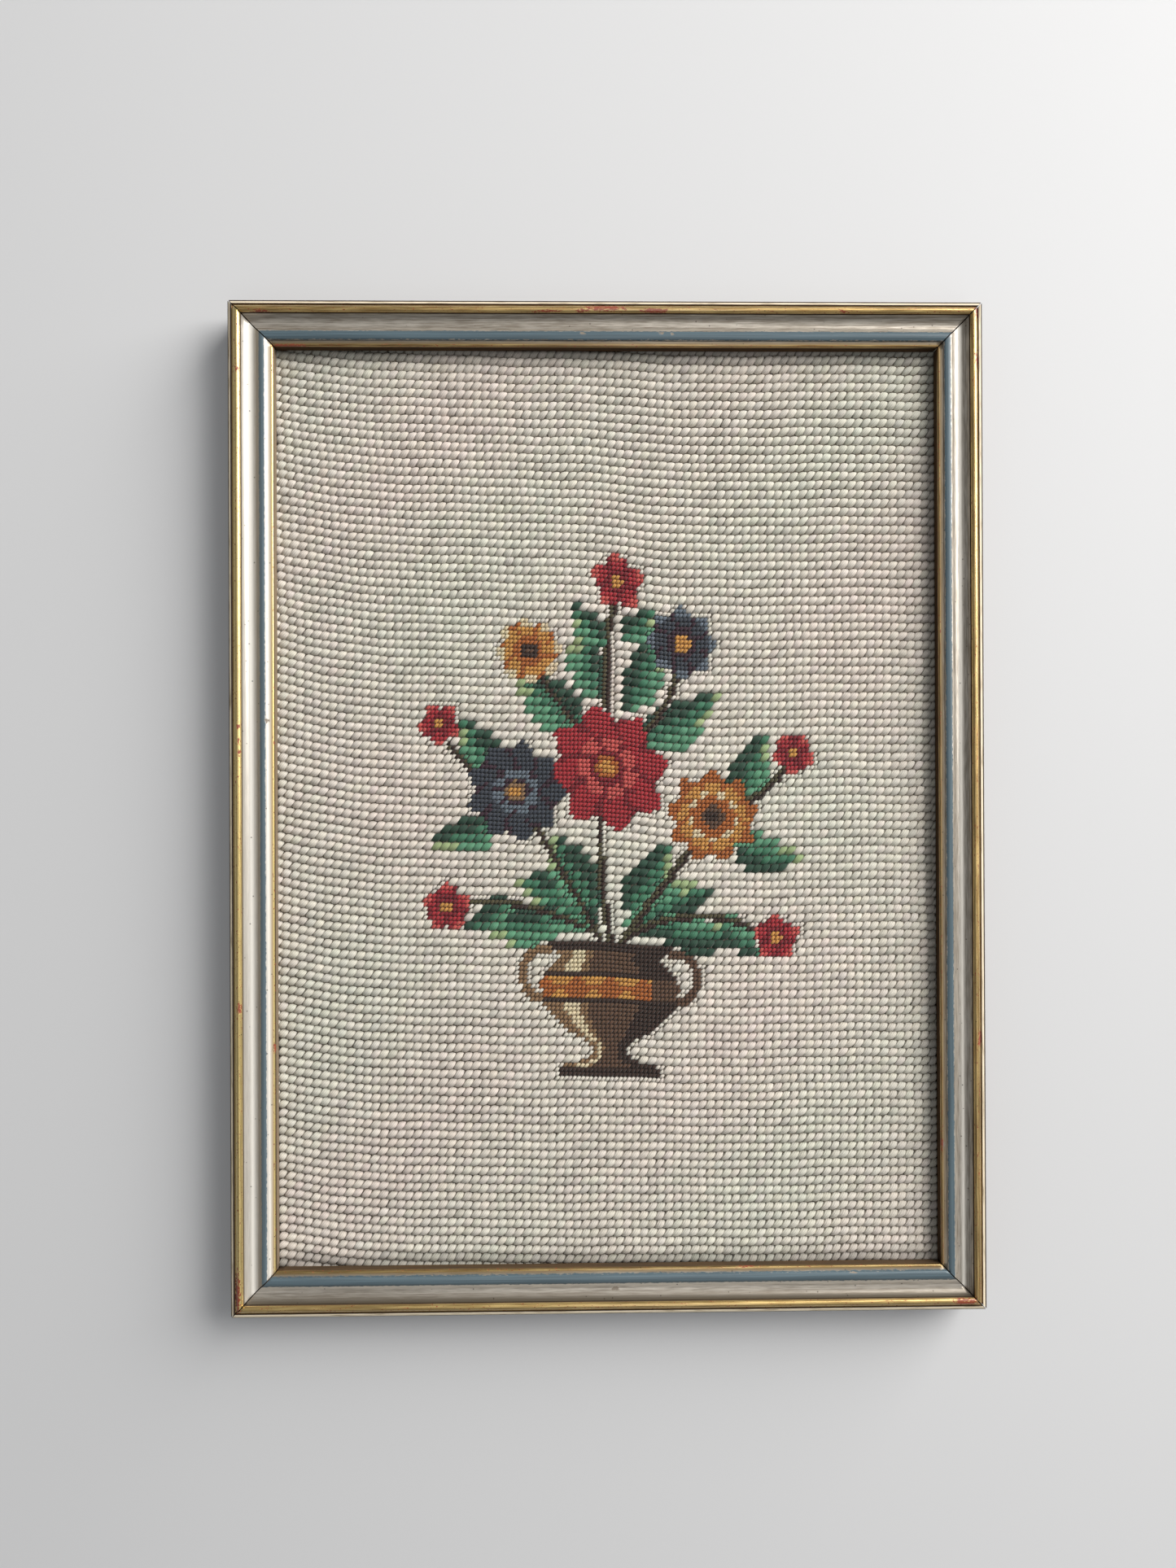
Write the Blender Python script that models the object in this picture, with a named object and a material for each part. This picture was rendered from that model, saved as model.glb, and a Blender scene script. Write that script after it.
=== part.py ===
"""A framed needlepoint lying on its back, face up.

Four mitred moulding sticks hold a stitched canvas in their rebate, and a plain board closes the back.
X runs across the picture, Y up it, Z from the back to the face. The origin is under the middle of the back.
"""

from math import asin, atan2, cos, exp, pi, radians, sin, sqrt

import bmesh
import bpy

MM = 0.001

# The frame, outside to outside, and the face of its moulding from the outer edge to the sight edge.
FRAME_WIDTH = 221.3 * MM
FRAME_HEIGHT = 296.6 * MM
FACE = 13.0 * MM
# Between two pieces that touch on the real frame.
SEAT_GAP = 0.3 * MM

# Heights above the back of the frame.
BEAD_TOP = 15.0 * MM
BEAD_FOOT = 13.3 * MM
FILLET_TOP = 13.8 * MM
ARRIS_FOOT = 13.3 * MM
COVE_START = 13.9 * MM
COVE_END = 13.0 * MM
BAND_END = 12.9 * MM
SLOPE_TOP = 12.55 * MM
SLOPE_END = 12.4 * MM
SIGHT_EDGE = 11.8 * MM
REBATE_TOP = 8.8 * MM

# Distances in from the outer edge of the frame.
FILLET_START = 0.75 * MM
FILLET_END = 1.2 * MM
BEAD_START = 1.8 * MM
BEAD_END = 3.85 * MM
COVE_EDGE = 4.05 * MM
BAND_START = 8.8 * MM
BAND_FOOT = 11.3 * MM
SLOPE_START = 11.35 * MM
NOSE_START = 12.3 * MM
REBATE_WIDTH = 5.0 * MM

# How far the round stretches of the moulding stand out of, or are hollowed below, a straight line.
COVE_HOLLOW = 1.35 * MM
BAND_SWELL = 0.42 * MM
NOSE_SWELL = 0.2 * MM
# Faces round each of these stretches.
BEAD_STEPS = 12
COVE_STEPS = 14
BAND_STEPS = 8
NOSE_STEPS = 5
# Edges sharper than this stay crisp under smooth shading.
CRISP_ANGLE = radians(25)

# The stitched canvas.
CLOTH_THICK = 2.2 * MM
CLOTH_EASE = 0.5 * MM
CLOTH_CELL = 6.5 * MM
# Swells of the stitched face between the sight edges: middle across and up, radius, height.
SWELLS = (
    (-52 * MM, 86 * MM, 46 * MM, 0.34 * MM),
    (60 * MM, 98 * MM, 38 * MM, 0.26 * MM),
    (-70 * MM, -14 * MM, 34 * MM, 0.18 * MM),
    (14 * MM, 6 * MM, 40 * MM, 0.42 * MM),
    (72 * MM, 12 * MM, 30 * MM, 0.2 * MM),
    (-48 * MM, -92 * MM, 44 * MM, 0.38 * MM),
    (40 * MM, -84 * MM, 42 * MM, 0.28 * MM),
)
# The face lies flat under the moulding and rises to its full swell this far inside the sight edge.
SWELL_REACH = 14.0 * MM

BOARD_THICK = 3.0 * MM
BOARD_EASE = 0.4 * MM

SIGHT_WIDTH = FRAME_WIDTH - 2 * FACE
SIGHT_HEIGHT = FRAME_HEIGHT - 2 * FACE


def bow(start, end, rise, steps):
    """Points of a circular arc from start to end, standing out to the left of the way."""
    run = (end[0] - start[0], end[1] - start[1])
    chord = sqrt(run[0] ** 2 + run[1] ** 2)
    out = (-run[1] / chord, run[0] / chord)
    radius = (chord**2 / 4 + rise**2) / (2 * abs(rise))
    side = 1 if rise > 0 else -1
    centre = tuple((start[k] + end[k]) / 2 + out[k] * (rise - side * radius) for k in (0, 1))
    half = asin(min(1.0, chord / 2 / radius))
    middle = atan2(out[1] * side, out[0] * side)
    angles = (middle + side * half * (1 - 2 * k / steps) for k in range(steps + 1))
    return [(centre[0] + radius * cos(a), centre[1] + radius * sin(a)) for a in angles]


def moulding():
    """The section of a stick, over its face and round its back: distance in from the outer edge, height."""
    bead_radius = (BEAD_END - BEAD_START) / 2
    springing = BEAD_TOP - bead_radius
    section = [(0, 0), (0, ARRIS_FOOT)]
    section += [(FILLET_START, FILLET_TOP), (FILLET_END, FILLET_TOP)]
    section += [(FILLET_END, BEAD_FOOT), (BEAD_START, BEAD_FOOT)]
    section += bow((BEAD_START, springing), (BEAD_END, springing), bead_radius, BEAD_STEPS)
    section += [(BEAD_END, BEAD_FOOT), (COVE_EDGE, BEAD_FOOT)]
    section += bow((COVE_EDGE, COVE_START), (BAND_START, COVE_END), -COVE_HOLLOW, COVE_STEPS)
    section += bow((BAND_START, COVE_END), (BAND_FOOT, BAND_END), BAND_SWELL, BAND_STEPS)[1:]
    section += [(SLOPE_START, SLOPE_TOP)]
    section += bow((NOSE_START, SLOPE_END), (FACE, SIGHT_EDGE), NOSE_SWELL, NOSE_STEPS)
    section += [(FACE, REBATE_TOP), (FACE - REBATE_WIDTH, REBATE_TOP), (FACE - REBATE_WIDTH, 0)]
    return section


def finish(name, colour, roughness, metallic=0.0):
    """A plain material of one colour."""
    material = bpy.data.materials.new(name)
    material.use_nodes = True
    shader = material.node_tree.nodes["Principled BSDF"]
    shader.inputs["Base Color"].default_value = (*colour, 1)
    shader.inputs["Roughness"].default_value = roughness
    shader.inputs["Metallic"].default_value = metallic
    return material


def piece(name, bm, material):
    """An object from a bmesh, with its faces turned outwards."""
    bmesh.ops.recalc_face_normals(bm, faces=bm.faces)
    mesh = bpy.data.meshes.new(name)
    bm.to_mesh(mesh)
    bm.free()
    mesh.materials.append(material)
    ob = bpy.data.objects.new(name, mesh)
    bpy.context.collection.objects.link(ob)
    return ob


def stick(name, length, turn, away, material):
    """One side of the frame, drawn along X with its outer edge towards +Y, then turned to its place."""
    bm = bmesh.new()
    section = moulding()
    near = bm.faces.new([bm.verts.new((0, -u, z)) for u, z in section])
    far = bmesh.ops.extrude_face_region(bm, geom=[near])
    far_verts = [v for v in far["geom"] if isinstance(v, bmesh.types.BMVert)]
    # A 45 degree mitre at each end, cut back by half of the gap between two sticks.
    cut_back = SEAT_GAP / 2 * sqrt(2)
    for v in bm.verts:
        half = length / 2 + v.co.y - cut_back
        v.co.x = half if v in far_verts else -half
    ob = piece(name, bm, material)
    ob.rotation_euler.z = turn
    ob.location = (-away * sin(turn), away * cos(turn), 0)
    ob.data.shade_smooth()
    ob.data.set_sharp_from_angle(angle=CRISP_ANGLE)
    return ob


def swell(x, y):
    """How far the stitched face stands above its level under the moulding."""
    inside = min(SIGHT_WIDTH / 2 - abs(x), SIGHT_HEIGHT / 2 - abs(y))
    share = min(max(inside / SWELL_REACH, 0), 1)
    ease = share * share * (3 - 2 * share)
    rise = sum(high * exp(-((x - cx) ** 2 + (y - cy) ** 2) / wide**2) for cx, cy, wide, high in SWELLS)
    return ease * rise


def cloth(name, material):
    """The stitched canvas: a flat back and a gently uneven face."""
    width = FRAME_WIDTH - 2 * (FACE - REBATE_WIDTH + CLOTH_EASE)
    height = FRAME_HEIGHT - 2 * (FACE - REBATE_WIDTH + CLOTH_EASE)
    face_level = REBATE_TOP - SEAT_GAP
    bm = bmesh.new()
    across, up = round(width / CLOTH_CELL), round(height / CLOTH_CELL)
    bmesh.ops.create_grid(bm, x_segments=across, y_segments=up, size=0.5)
    for v in bm.verts:
        v.co = (v.co.x * width, v.co.y * height, 0)
    back = bmesh.ops.extrude_face_region(bm, geom=bm.faces[:])
    back_verts = {v for v in back["geom"] if isinstance(v, bmesh.types.BMVert)}
    for v in bm.verts:
        v.co.z = face_level - CLOTH_THICK if v in back_verts else face_level + swell(v.co.x, v.co.y)
    # The back needs no unevenness, so its inner faces are one again.
    flat = [f for f in bm.faces if all(v in back_verts for v in f.verts)]
    inner = [e for e in bm.edges if all(f in flat for f in e.link_faces)]
    bmesh.ops.dissolve_edges(bm, edges=inner, use_verts=False)
    ob = piece(name, bm, material)
    ob.data.shade_smooth()
    ob.data.set_sharp_from_angle(angle=CRISP_ANGLE)
    return ob


def board(name, material):
    """The plain board behind the canvas."""
    width = FRAME_WIDTH - 2 * (FACE - REBATE_WIDTH + BOARD_EASE)
    height = FRAME_HEIGHT - 2 * (FACE - REBATE_WIDTH + BOARD_EASE)
    top = REBATE_TOP - SEAT_GAP - CLOTH_THICK - SEAT_GAP
    bm = bmesh.new()
    bmesh.ops.create_cube(bm, size=1)
    for v in bm.verts:
        v.co = (v.co.x * width, v.co.y * height, top + (v.co.z - 0.5) * BOARD_THICK)
    return piece(name, bm, material)


for old in list(bpy.data.objects):
    bpy.data.objects.remove(old)

gilt = finish("gilt_moulding", (0.36, 0.29, 0.2), 0.45, 0.3)
wool = finish("wool", (0.58, 0.53, 0.45), 0.95)
brown_board = finish("brown_board", (0.3, 0.2, 0.13), 0.85)

# Name, outer length, turn about Z and distance of the outer edge from the middle.
for stick_name, outer_length, turned, outer_edge in (
    ("frame_top", FRAME_WIDTH, 0, FRAME_HEIGHT / 2),
    ("frame_left", FRAME_HEIGHT, pi / 2, FRAME_WIDTH / 2),
    ("frame_bottom", FRAME_WIDTH, pi, FRAME_HEIGHT / 2),
    ("frame_right", FRAME_HEIGHT, -pi / 2, FRAME_WIDTH / 2),
):
    stick(stick_name, outer_length, turned, outer_edge, gilt)
cloth("needlework", wool)
board("backing_board", brown_board)
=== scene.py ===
import math

import bmesh
import bpy
import numpy as np
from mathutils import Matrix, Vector
from mathutils.bvhtree import BVHTree


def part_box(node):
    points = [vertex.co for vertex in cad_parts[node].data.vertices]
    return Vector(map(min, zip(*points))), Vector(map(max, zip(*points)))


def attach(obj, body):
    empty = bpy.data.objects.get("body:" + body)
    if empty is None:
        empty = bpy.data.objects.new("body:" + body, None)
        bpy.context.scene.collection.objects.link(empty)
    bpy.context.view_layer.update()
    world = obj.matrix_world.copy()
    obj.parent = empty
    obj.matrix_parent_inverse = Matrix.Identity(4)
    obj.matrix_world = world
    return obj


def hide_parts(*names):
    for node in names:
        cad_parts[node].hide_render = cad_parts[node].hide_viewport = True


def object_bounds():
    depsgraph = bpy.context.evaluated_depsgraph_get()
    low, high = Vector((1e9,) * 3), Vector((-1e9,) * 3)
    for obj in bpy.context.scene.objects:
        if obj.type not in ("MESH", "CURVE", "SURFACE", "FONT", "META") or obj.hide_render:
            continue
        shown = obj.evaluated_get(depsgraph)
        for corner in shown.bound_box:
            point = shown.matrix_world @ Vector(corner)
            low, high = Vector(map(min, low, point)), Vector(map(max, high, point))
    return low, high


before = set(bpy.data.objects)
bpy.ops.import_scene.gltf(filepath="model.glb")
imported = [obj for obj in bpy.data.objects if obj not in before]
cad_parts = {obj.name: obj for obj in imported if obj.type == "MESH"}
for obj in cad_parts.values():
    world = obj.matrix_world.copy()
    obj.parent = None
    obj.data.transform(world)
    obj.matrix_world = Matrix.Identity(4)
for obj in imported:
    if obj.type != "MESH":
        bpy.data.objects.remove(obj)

cad_low, cad_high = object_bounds()

# The backing board.
# A plain board of pressed wood fibre, cut to the rebate and laid in behind the canvas.
# It is the solid of the frame itself, and only gets its surface here: matted brown fibres under a dull skin.

MM = 0.001


def linear(code):
    """A linear colour from an sRGB hex value."""
    parts = [int(code[k:k + 2], 16) / 255 for k in (1, 3, 5)]
    return (*[p / 12.92 if p <= 0.04045 else ((p + 0.055) / 1.055) ** 2.4 for p in parts], 1.0)


def plug(tree, made, sockets):
    """Sets inputs of a node, by name or number, to a value, an output or the result of another node."""
    for key, value in sockets.items():
        if isinstance(value, bpy.types.Node):
            value = next(output for output in value.outputs if output.enabled)
        if isinstance(value, bpy.types.NodeSocket):
            tree.links.new(value, made.inputs[key])
        else:
            made.inputs[key].default_value = value


def node(tree, kind, sockets=None, **settings):
    """Adds a node, with its own settings and with its inputs plugged in."""
    made = tree.nodes.new(kind)
    for key, value in settings.items():
        setattr(made, key, value)
    plug(tree, made, sockets or {})
    return made


def finish(name):
    """A new material with its node tree and its shader."""
    material = bpy.data.materials.new(name)
    material.use_nodes = True
    return material, material.node_tree, material.node_tree.nodes["Principled BSDF"]


FIBRE = 0.9 * MM
FIBRE_RELIEF = 0.12 * MM
BOARD_MOTTLE = 14 * MM

pressed_board, tree, shader = finish("pressed_fibre_board")
place = node(tree, "ShaderNodeTexCoord").outputs["Object"]
fibres = node(
    tree, "ShaderNodeTexNoise", {"Vector": place, "Scale": 1 / FIBRE, "Detail": 6.0, "Distortion": 1.2},
)
mottle = node(tree, "ShaderNodeTexNoise", {"Vector": place, "Scale": 1 / BOARD_MOTTLE, "Detail": 3.0})
brown = node(
    tree, "ShaderNodeMix", {0: fibres, 6: linear("#5C4028"), 7: linear("#8D6B4A")}, data_type="RGBA",
)
patchy = node(
    tree, "ShaderNodeMix", {0: mottle, 6: linear("#D8CBBB"), 7: linear("#FFFFFF")}, data_type="RGBA",
)
tinted = node(tree, "ShaderNodeMix", {0: 1.0, 6: brown, 7: patchy}, data_type="RGBA", blend_type="MULTIPLY")
matted = node(tree, "ShaderNodeBump", {"Strength": 0.5, "Distance": FIBRE_RELIEF, "Height": fibres})
plug(tree, shader, {"Base Color": tinted, "Normal": matted, "Roughness": 0.85})

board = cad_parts["backing_board"]
board.data.materials.clear()
board.data.materials.append(pressed_board)

# The canvas.
# Open cotton canvas woven with its threads in pairs, ten pairs to the inch, held flat by the board behind.
# It was stitched in the hand, which has pulled it out of square, and it shows only deep between stitches.

PITCH_ACROSS = 2.49 * MM
PITCH_UP = 2.59 * MM
THREADS_PER_SQUARE = 2
# How far the tops of the stitches stand above the canvas.
STITCH_STAND = 1.15 * MM
CANVAS_THICK = 0.8 * MM
CANVAS_CELL = 4.0 * MM
CANVAS_RELIEF = 0.3 * MM
# From the outer edge of the frame to its sight edge.
FACE_WIDTH = 13.0 * MM
# Beyond its edge the height of the stitched face is read this far inside it.
EDGE_STEP = 0.1 * MM
# A wave texture at this scale has its bands one unit apart.
BAND_SCALE = 0.314

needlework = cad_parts["needlework"]
cloth_low, cloth_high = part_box("needlework")
stitched_face = BVHTree.FromPolygons(
    [v.co for v in needlework.data.vertices],
    [list(p.vertices) for p in needlework.data.polygons],
)


def face_level(x, y):
    """Height of the stitched face over a point of the picture."""
    x = min(max(x, cloth_low.x + EDGE_STEP), cloth_high.x - EDGE_STEP)
    y = min(max(y, cloth_low.y + EDGE_STEP), cloth_high.y - EDGE_STEP)
    return stitched_face.ray_cast(Vector((x, y, 1)), Vector((0, 0, -1)))[0].z


def adopt(name, mesh, replaced):
    """Puts a finished mesh in the scene as a piece of the part."""
    piece = bpy.data.objects.new(name, mesh)
    bpy.context.scene.collection.objects.link(piece)
    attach(piece, "root")
    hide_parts(replaced)
    return piece


def smooth_step(value, start, end):
    """From 0 at start to 1 at end, with no kink."""
    share = np.clip((value - start) / (end - start), 0, 1)
    return share * share * (3 - 2 * share)


# How the rows ride up at the left edge and sink at the right, and how the columns bow and lean, in mm.
# The bow tapers by its share for each mm to the right.
LEFT_RISE = 5.2
LEFT_RISE_MORE = 1.6
LEFT_RISE_FADE = 30
RIGHT_SINK = 3.7
COLUMN_BOW = 0.75
COLUMN_BOW_TAPER = 0.027
TOP_LEAN = 1.7
sight_left = cad_low.x / MM + FACE_WIDTH / MM


def pulled(x, y):
    """Where a point of the squared chart lies on the pulled canvas, in mm."""
    left_rise = LEFT_RISE + LEFT_RISE_MORE * np.exp(-((y - 10) / 80) ** 2)
    right_sink = RIGHT_SINK * np.exp(-((y - 38) / 107) ** 2)
    rise = left_rise * np.exp(-(x - sight_left) / LEFT_RISE_FADE) - right_sink * smooth_step(x, -12, 24)
    middle_bow = np.exp(-((y - 35) / 75) ** 2) * (COLUMN_BOW - COLUMN_BOW_TAPER * x)
    top_lean = TOP_LEAN * smooth_step(y, 40, 130)
    ripple = 0.16 * np.sin(x / 9.1 + 0.4 * np.sin(y / 17)) + 0.1 * np.sin(x / 3.7 + y / 11)
    sway = 0.14 * np.sin(y / 7.3 + 1.3) + 0.1 * np.sin(y / 3.1 + x / 14)
    return x + middle_bow - top_lean + sway, y + rise + ripple


def squared(x, y):
    """Which point of the squared chart lies at a point of the pulled canvas, in mm."""
    chart_x, chart_y = x, y
    for _ in range(8):
        reached_x, reached_y = pulled(chart_x, chart_y)
        chart_x, chart_y = chart_x + x - reached_x, chart_y + y - reached_y
    return chart_x, chart_y


# Cotton thread, coloured far darker than clean canvas as painted shade, since it shows only deep between the
# stitches. The holes, one to each corner of a square, are painted near-black as painted shade. Half a hole
# is wholly open to the first share of a square, and ends at the second.
HOLE = (0.12, 0.24)

cotton_canvas, tree, shader = finish("double_thread_cotton_canvas")
chart = node(tree, "ShaderNodeAttribute", attribute_name="chart").outputs["Vector"]
threads = []
for turn in (0, math.pi / 2):
    turned = node(tree, "ShaderNodeMapping", {"Vector": chart, "Rotation": (0, 0, turn)})
    ridges = node(
        tree, "ShaderNodeTexWave",
        {"Vector": turned, "Scale": BAND_SCALE * THREADS_PER_SQUARE, "Distortion": 1.0, "Detail": 1.0},
    )
    threads.append(ridges.outputs["Fac"])
weave = node(tree, "ShaderNodeMath", {0: threads[0], 1: threads[1]}, operation="MAXIMUM")
shaded_cotton = node(
    tree, "ShaderNodeMix", {0: weave, 6: linear("#4B443A"), 7: linear("#83796A")}, data_type="RGBA",
)
in_square = node(tree, "ShaderNodeVectorMath", {0: chart}, operation="FRACTION")
from_hole = node(tree, "ShaderNodeVectorMath", {0: in_square, 1: (0.5, 0.5, 0.5)}, operation="SUBTRACT")
apart = node(tree, "ShaderNodeVectorMath", {0: from_hole}, operation="ABSOLUTE")
sides = node(tree, "ShaderNodeSeparateXYZ", {0: apart}).outputs
nearest = node(tree, "ShaderNodeMath", {0: sides["X"], 1: sides["Y"]}, operation="MAXIMUM")
hole = node(
    tree, "ShaderNodeMapRange",
    {"Value": nearest, "From Min": HOLE[0], "From Max": HOLE[1], "To Min": 1.0, "To Max": 0.0},
)
shaded_holes = node(tree, "ShaderNodeMix", {0: hole, 6: shaded_cotton, 7: linear("#2A2520")}, data_type="RGBA")
raised = node(tree, "ShaderNodeBump", {"Strength": 0.8, "Distance": CANVAS_RELIEF, "Height": weave})
plug(tree, shader, {"Base Color": shaded_holes, "Normal": raised, "Roughness": 0.95})

bm = bmesh.new()
canvas_width = cloth_high.x - cloth_low.x
canvas_height = cloth_high.y - cloth_low.y
bmesh.ops.create_grid(
    bm,
    x_segments=round(canvas_width / CANVAS_CELL),
    y_segments=round(canvas_height / CANVAS_CELL),
    size=0.5,
)
for v in bm.verts:
    x, y = v.co.x * canvas_width, v.co.y * canvas_height
    v.co = (x, y, face_level(x, y) - STITCH_STAND)
under = bmesh.ops.extrude_face_region(bm, geom=bm.faces[:])
for v in under["geom"]:
    if isinstance(v, bmesh.types.BMVert):
        v.co.z -= CANVAS_THICK
bmesh.ops.recalc_face_normals(bm, faces=bm.faces)
canvas_mesh = bpy.data.meshes.new("canvas")
bm.to_mesh(canvas_mesh)
bm.free()
spots = np.array([v.co for v in canvas_mesh.vertices]) / MM
chart_x, chart_y = squared(spots[:, 0], spots[:, 1])
on_chart = np.stack([chart_x * MM / PITCH_ACROSS, chart_y * MM / PITCH_UP, np.zeros(len(spots))], axis=1)
canvas_mesh.attributes.new("chart", "FLOAT_VECTOR", "POINT").data.foreach_set("vector", on_chart.ravel())
canvas_mesh.materials.append(cotton_canvas)
canvas = adopt("canvas", canvas_mesh, "needlework")

# The chart of the picture.
# A plain urn of flowers in the usual needlepoint manner. Leaves and ground are worked over double threads,
# one stitch to a square. Flowers, stems and urn are worked over single threads, four stitches to a square.

# Squares from the middle of the picture to its side, and to its top.
COLUMNS = 41
ROWS = 56
YARNS = {
    "deep green": "#2B4738", "green": "#3F7157", "bright green": "#5B9070", "sage": "#98AA7B",
    "olive": "#4E4730", "deep red": "#7E1C26", "red": "#A62B33", "rose": "#C4554F",
    "plum": "#3A2430", "slate": "#3B4049", "blue grey": "#66707A", "dark brown": "#38261E",
    "brown": "#5E4433", "fawn": "#8A6B4C", "rust": "#A9602B", "ochre": "#C89048", "buff": "#DCCBA8",
    "ground": "#DAD3C6",
}
SHADES = list(YARNS)
BARE = -1

square_x, square_y = np.meshgrid(
    np.arange(-COLUMNS, COLUMNS + 1) * PITCH_ACROSS / MM,
    np.arange(-ROWS, ROWS + 1) * PITCH_UP / MM,
)
small_x, small_y = np.meshgrid(
    (np.arange(-2 * COLUMNS - 1, 2 * COLUMNS + 1) + 0.5) * PITCH_ACROSS / 2 / MM,
    (np.arange(-2 * ROWS - 1, 2 * ROWS + 1) + 0.5) * PITCH_UP / 2 / MM,
)
squares = np.full(square_x.shape, BARE)
smalls = np.full(small_x.shape, BARE)


def work(chart, inside, yarn):
    """Marks part of a chart as worked in one yarn."""
    chart[inside] = SHADES.index(yarn)


def blade(x, y, root, length, width, turn, bow, fullness):
    """A pointed oval from its root: which points it holds, and how far along and across it they lie."""
    c, s = math.cos(math.radians(turn)), math.sin(math.radians(turn))
    along = ((x - root[0]) * c + (y - root[1]) * s) / length
    across = (y - root[1]) * c - (x - root[0]) * s
    across = (across - 4 * bow * along * (1 - along)) / (width / 2)
    half = np.sin(np.pi * np.clip(along, 0, 1) ** fullness)
    inside = (along > 0) & (along < 1) & (np.abs(across) < half)
    return inside, along, across / np.maximum(half, 0.01)


# Where a leaf is fullest: 1 is its middle, and less is nearer its root. Then, in mm, the rim of a flower's
# eye, and how far to the right and down the shade of a stem lies.
LEAF_FULLNESS = 0.72
EYE_RIM = 1.4
STEM_SHADE = (0.5, 0.7)


def leaf(root, length, width, turn, bow, lit):
    """A leaf over double threads, with a lit side, a shaded side and a pale tip."""
    inside, along, across = blade(square_x, square_y, root, length, width, turn, bow, LEAF_FULLNESS)
    work(squares, inside, "green")
    work(squares, inside & (across * lit > 0.3), "bright green")
    work(squares, inside & (across * lit < -0.25), "deep green")
    work(squares, inside & (across * lit > 0.3) & (along > 0.62), "sage")


def petals(middle, radius, width, count, turn, yarns, fullness=1.35):
    """A ring of petals, with yarns for their outline, body and tip."""
    outline, body, tip = yarns
    for k in range(count):
        inside, along, across = blade(
            small_x, small_y, middle, radius, width, turn + 360 * k / count, 0, fullness
        )
        work(smalls, inside, body)
        work(smalls, inside & (along > 0.72), tip)
        work(smalls, inside & (along < 0.42), outline)
        work(smalls, inside & (np.abs(across) > 0.72) & (along < 0.8), outline)


def eye(middle, radius, yarn, rim):
    """The round middle of a flower."""
    away = np.hypot(small_x - middle[0], small_y - middle[1])
    work(smalls, away < radius, yarn)
    work(smalls, (away < radius) & (away > radius - EYE_RIM), rim)


def stem(start, by_way_of, end, thick):
    """A stem along a quadratic curve, shaded on its lower side."""
    t = np.linspace(0, 1, 120)[:, None]
    route = (1 - t) ** 2 * np.array(start) + 2 * t * (1 - t) * np.array(by_way_of) + t**2 * np.array(end)
    for x, y in route:
        work(smalls, np.hypot(small_x - x, small_y - y) < thick, "olive")
    for x, y in route:
        away = np.hypot(small_x - x - STEM_SHADE[0], small_y - y + STEM_SHADE[1])
        work(smalls, away < thick * 0.55, "dark brown")


# Start, by way of, end, half thickness, all in mm from the middle of the picture.
for row in (
    ((0, -40), (-5, -10), (-2, 14), 1.0),
    ((-3, -40), (-12, -22), (-27, 0), 0.9),
    ((3, -40), (14, -24), (30, -2), 0.9),
    ((-6, 20), (-20, 34), (-24, 44), 0.8),
    ((4, 20), (20, 30), (21, 50), 0.8),
    ((-4, -38), (-26, -26), (-47, -30), 0.8),
    ((4, -38), (26, -24), (47, -36), 0.8),
    ((0, 20), (-4, 48), (3, 66), 0.8),
    ((-24, -2), (-44, 8), (-51, 20), 0.8),
    ((28, 0), (46, 4), (54, 16), 0.8),
):
    stem(*row)

# Root, length, width, turn in degrees, bow, lit side.
for row in (
    ((-4, -36), 30, 15, 152, -2, 1),
    ((5, -36), 31, 15, 27, 2, 1),
    ((-14, -33), 27, 13, 188, 1.5, 1),
    ((14, -33), 27, 13, -9, -1.5, 1),
    ((-3, -30), 27, 14, 122, 2, 1),
    ((5, -30), 26, 14, 60, -2, -1),
    ((-8, 24), 29, 14, 139, 2, 1),
    ((9, 22), 30, 14, 34, -2, -1),
    ((-3, 32), 25, 12, 104, 1.5, 1),
    ((5, 30), 26, 12, 72, -1.5, -1),
    ((-32, 8), 24, 12, 128, 1.5, 1),
    ((36, 4), 25, 12, 62, -1.5, -1),
    ((-34, -6), 22, 12, 196, 1, 1),
    ((37, -8), 23, 12, -14, -1, 1),
    ((-30, -29), 17, 9, 214, 1, 1),
    ((33, -31), 18, 9, -40, -1, 1),
    ((-1, 48), 17, 9, 128, 1, 1),
    ((3, 50), 17, 9, 48, -1, -1),
):
    leaf(*row)

# The urn: heights above its foot, and half its width there, in mm. It has two handles, a lit side and a
# shaded one, a band of diamonds between dark lines, and a dark lip and foot.
URN_FOOT = -80
URN_LEVELS = (0, 3, 5, 9, 13, 20, 27, 32, 35, 37, 40)
URN_HALVES = (15, 14, 6, 5, 12, 19, 21, 19, 15, 16, 20)
up = small_y - URN_FOOT
urn_half = np.interp(up, URN_LEVELS, URN_HALVES)
in_urn = (up > 0) & (up < URN_LEVELS[-1]) & (np.abs(small_x) < urn_half)
across_urn = small_x / urn_half
for side, yarn in ((-1, "fawn"), (1, "brown")):
    handle = np.hypot((small_x - side * 20) / 7.5, (up - 30) / 8.5)
    work(smalls, (handle < 1) & (handle > 0.7) & (np.abs(small_x) > 17), yarn)
work(smalls, in_urn, "brown")
work(smalls, in_urn & (across_urn < -0.35), "fawn")
work(smalls, in_urn & (across_urn > 0.45), "dark brown")
work(smalls, in_urn & (np.abs(across_urn + 0.6) < 0.13), "buff")
band = in_urn & (up > 22) & (up < 30)
diamond = np.abs((small_x + 60) / 5 % 2 - 1) < np.abs(up - 26) / 4
work(smalls, band, "rust")
work(smalls, band & diamond, "ochre")
work(smalls, band & (across_urn > 0.6), "brown")
for level in (22, 30.5):
    work(smalls, in_urn & (np.abs(up - level) < 0.8), "dark brown")
work(smalls, in_urn & ((up > 37.4) | (up < 2.6)), "dark brown")

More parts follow.
